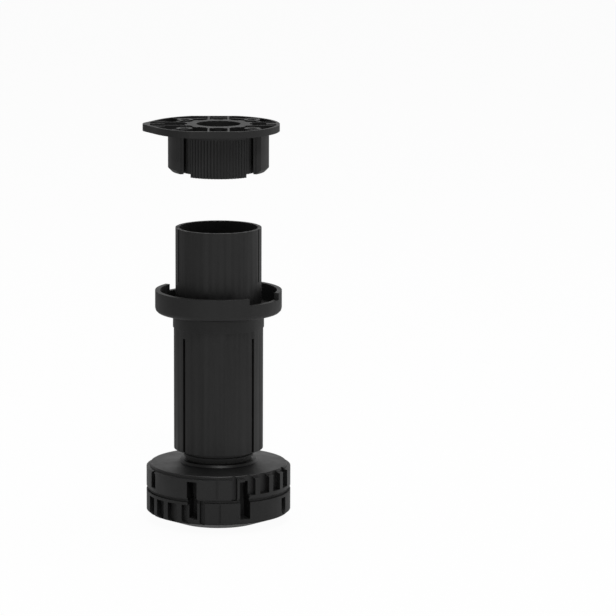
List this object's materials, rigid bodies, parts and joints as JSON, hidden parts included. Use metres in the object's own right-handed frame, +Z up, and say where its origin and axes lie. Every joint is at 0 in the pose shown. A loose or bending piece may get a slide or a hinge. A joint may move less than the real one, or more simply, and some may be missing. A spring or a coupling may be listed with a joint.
{
  "type": "adjustable cabinet leg",
  "caption": "Adjustable cabinet leg of black plastic: ribbed mounting plate on a plug, tube with a cupped collar, and a screw foot with a notched wheel on a floor pad.",
  "frame": {"origin": "centre of the foot's sole, on the floor", "axes": "+Z up along the leg's axis, -Y the front, +X to the right seen from the front"},
  "size_m": [0.0707, 0.0692, 0.1919],
  "materials": {
    "plate_plastic": "fine moulded texture",
    "tube_plastic": "fine moulded texture",
    "collar_plastic": "fine moulded texture",
    "wheel_plastic": "fine moulded texture",
    "pad_plastic": "fine moulded texture"
  },
  "bodies": {
    "pad": {"floor_pad": "pad_plastic"},
    "wheel": {"adjusting_wheel": "wheel_plastic"},
    "leg": {"leg_tube": "tube_plastic", "collar_ring": "collar_plastic"},
    "plate": {"mounting_plate": "plate_plastic"}
  },
  "joints": [
    {"name": "wheel_turn", "type": "hinge", "parent": "pad", "child": "wheel", "pos_m": [0, 0, 0.016], "axis": [0, 0, 1], "range_deg": [-2250, 0]},
    {"name": "leg_lift", "type": "slide", "parent": "pad", "child": "leg", "axis": [0, 0, 1], "range_m": [0, 0.025]},
    {"name": "plate_seat", "type": "slide", "parent": "leg", "child": "plate", "axis": [0, 0, 1], "range_m": [-0.04435, 0]}
  ],
  "couplings": [
    {"joint": "leg_lift", "follows": "wheel_turn", "m_per_rad": -0.00063662}
  ]
}
